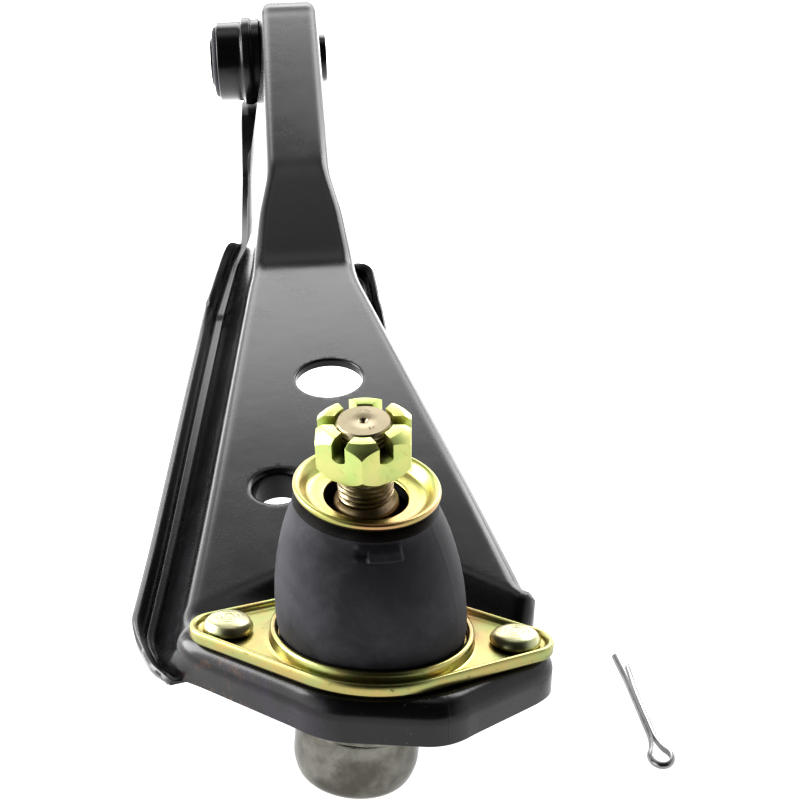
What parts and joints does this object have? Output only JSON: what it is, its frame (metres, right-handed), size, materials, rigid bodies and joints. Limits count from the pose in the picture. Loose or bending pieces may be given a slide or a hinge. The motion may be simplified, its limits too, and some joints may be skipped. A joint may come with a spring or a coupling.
{
  "type": "suspension control arm",
  "caption": "Pressed steel lower control arm with a rubber pivot bush in its eye and a riveted ball joint with boot, castle nut and cotter pin.",
  "frame": {"origin": "middle of the pivot bush, on the pivot axis", "axes": "+X along the pivot axis, +Z along the ball stud at rest, and the arm reaches towards -Y"},
  "size_m": [0.152, 0.4528, 0.1126],
  "materials": {
    "black_paint": "gloss black paint",
    "rubber": "moulded rubber, a little chalky",
    "yellow_zinc": "yellow zinc plate",
    "bright_zinc": "bright zinc plate",
    "bare_steel": "bare steel, oiled",
    "sintered": "sintered metal",
    "nylon": "moulded nylon"
  },
  "bodies": {
    "pivot": {"pivot_sleeve": "black_paint"},
    "arm": {"arm_pressing": "black_paint", "bush_shell": "black_paint", "bush_rubber": "rubber", "flange_plate": "yellow_zinc", "rivet_left": "yellow_zinc", "rivet_right": "yellow_zinc", "ball_housing": "bare_steel", "lower_seat": "sintered", "upper_seat": "sintered", "preload_spring": "bare_steel", "closure_ring": "bare_steel", "boot_base_ring": "yellow_zinc", "dust_boot": "rubber"},
    "liner": {"ball_liner": "nylon"},
    "cup": {"boot_cup": "yellow_zinc"},
    "stud": {"ball_stud": "yellow_zinc"},
    "nut": {"castle_nut": "yellow_zinc"},
    "pin": {"cotter_pin": "bright_zinc"}
  },
  "joints": [
    {"name": "arm_swing", "type": "hinge", "parent": "pivot", "child": "arm", "pos_m": [0, 0, 0], "axis": [1, 0, 0], "range_deg": [-20, 20], "stiffness_Nm_per_rad": 180, "springref_deg": -1.26},
    {"name": "stud_side_tilt", "type": "hinge", "parent": "arm", "child": "liner", "pos_m": [0.0115, -0.3935, -0.038], "axis": [0.0824, 0.9534, -0.2902], "range_deg": [-10, 10]},
    {"name": "stud_tilt", "type": "hinge", "parent": "liner", "child": "cup", "pos_m": [0.0115, -0.3935, -0.038], "axis": [0.9945, -0.1045, 0], "range_deg": [-40, 8], "deforming": ["dust_boot"]},
    {"name": "stud_spin", "type": "hinge", "parent": "cup", "child": "stud", "pos_m": [0.0115, -0.3935, -0.038], "axis": [0, 0, 1], "continuous": true},
    {"name": "nut_turn", "type": "hinge", "parent": "stud", "child": "nut", "pos_m": [0.0115, -0.3935, 0.0345], "axis": [0, 0, 1], "continuous": true},
    {"name": "pin_slide", "type": "slide", "parent": "pivot", "child": "pin", "axis": [1, 0, 0], "range_m": [0, 0.03]}
  ]
}
